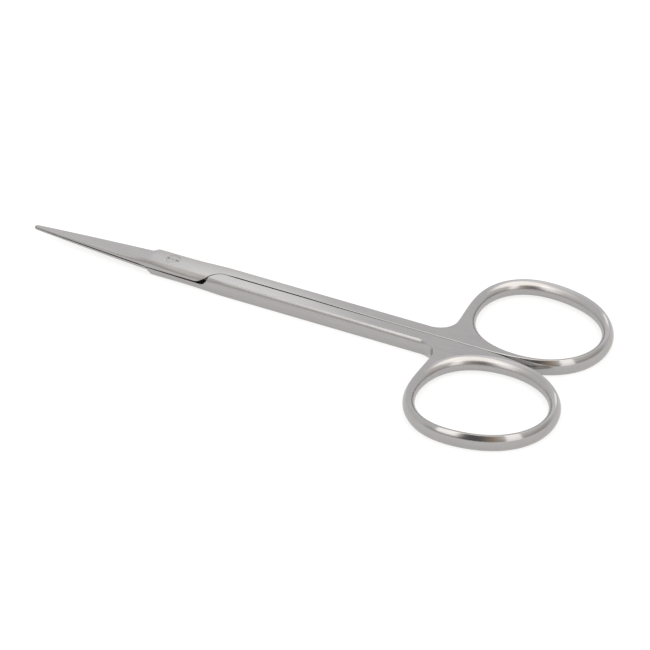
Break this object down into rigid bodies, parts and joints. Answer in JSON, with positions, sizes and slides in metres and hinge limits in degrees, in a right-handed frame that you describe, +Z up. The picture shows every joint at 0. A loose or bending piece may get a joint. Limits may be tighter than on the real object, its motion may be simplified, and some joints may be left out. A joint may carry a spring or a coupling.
{
  "type": "iris scissors",
  "caption": "Slim straight scissors with short fine pointed blades, a half-lap screw joint, long shanks and oval finger rings, for cutting fine tissue and sutures.",
  "frame": {"origin": "on the pivot axis, at the plane the closed scissors lie on", "axes": "+X from the pivot along the shanks to the finger rings, +Y across towards the upper half's ring, +Z up along the pivot axis out of the screw's head"},
  "size_m": [0.1152, 0.0506, 0.0034],
  "materials": {
    "satin_steel": "satin ground stainless steel, finger rings polished smoother",
    "screw_steel": "ground flush with the joint"
  },
  "bodies": {
    "lower": {"lower_half": "satin_steel", "pivot_screw": "screw_steel"},
    "upper": {"upper_half": "satin_steel"}
  },
  "joints": [
    {"name": "pivot", "type": "hinge", "parent": "lower", "child": "upper", "pos_m": [0, 0, 0.00172], "axis": [0, 0, 1], "range_deg": [0, 60]}
  ]
}
